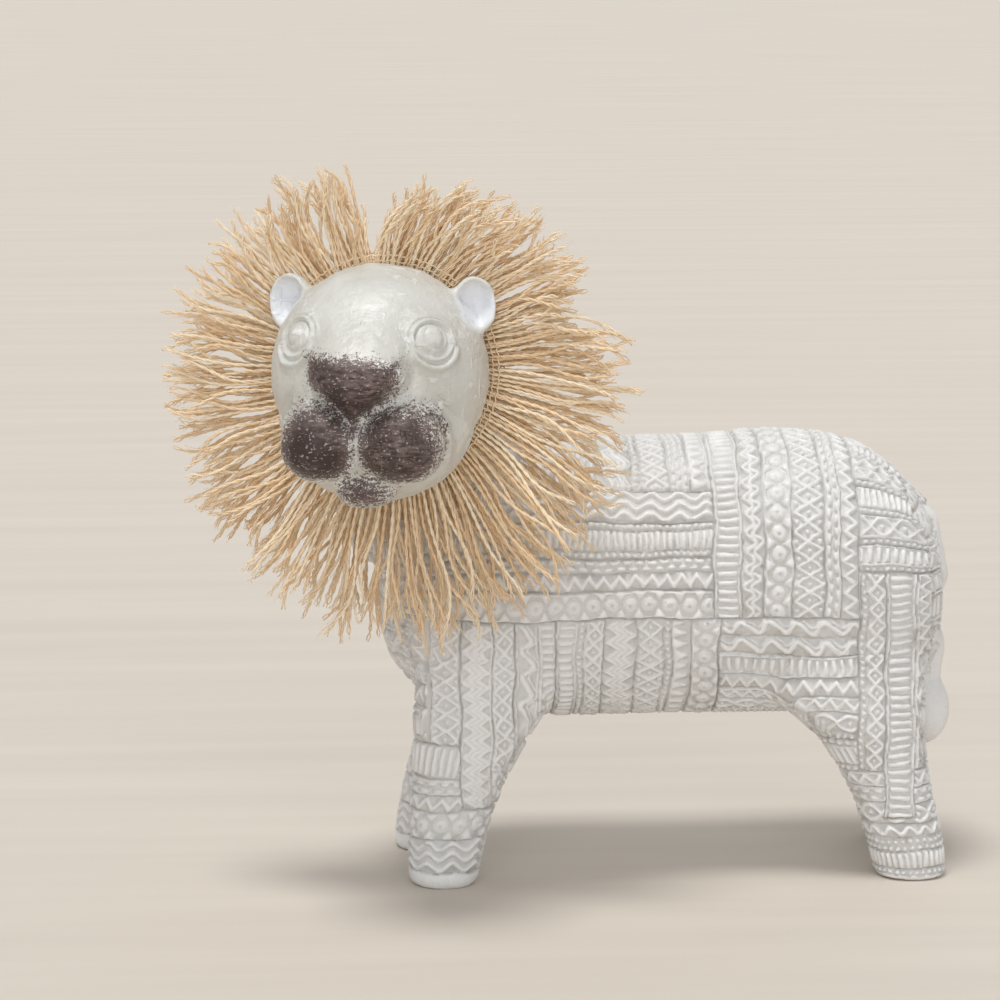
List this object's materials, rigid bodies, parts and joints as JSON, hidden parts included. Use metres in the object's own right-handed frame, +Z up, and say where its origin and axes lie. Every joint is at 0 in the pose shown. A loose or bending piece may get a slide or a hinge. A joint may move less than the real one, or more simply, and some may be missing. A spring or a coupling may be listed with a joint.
{
  "type": "resin lion figurine",
  "caption": "Standing lion figurine with carved bands over its body, its head turned aside, and a fringe mane of jute twine.",
  "frame": {"origin": "middle of the whole object's footprint, on the surface it stands on", "axes": "+Z up, +X along the body from chest to rump; the head looks along -Y"},
  "size_m": [0.336, 0.1854, 0.2988],
  "materials": {
    "white_resin": "satin",
    "jute": "matte"
  },
  "bodies": {
    "root": {"resin_lion": "white_resin", "jute_mane": "jute"}
  },
  "joints": []
}
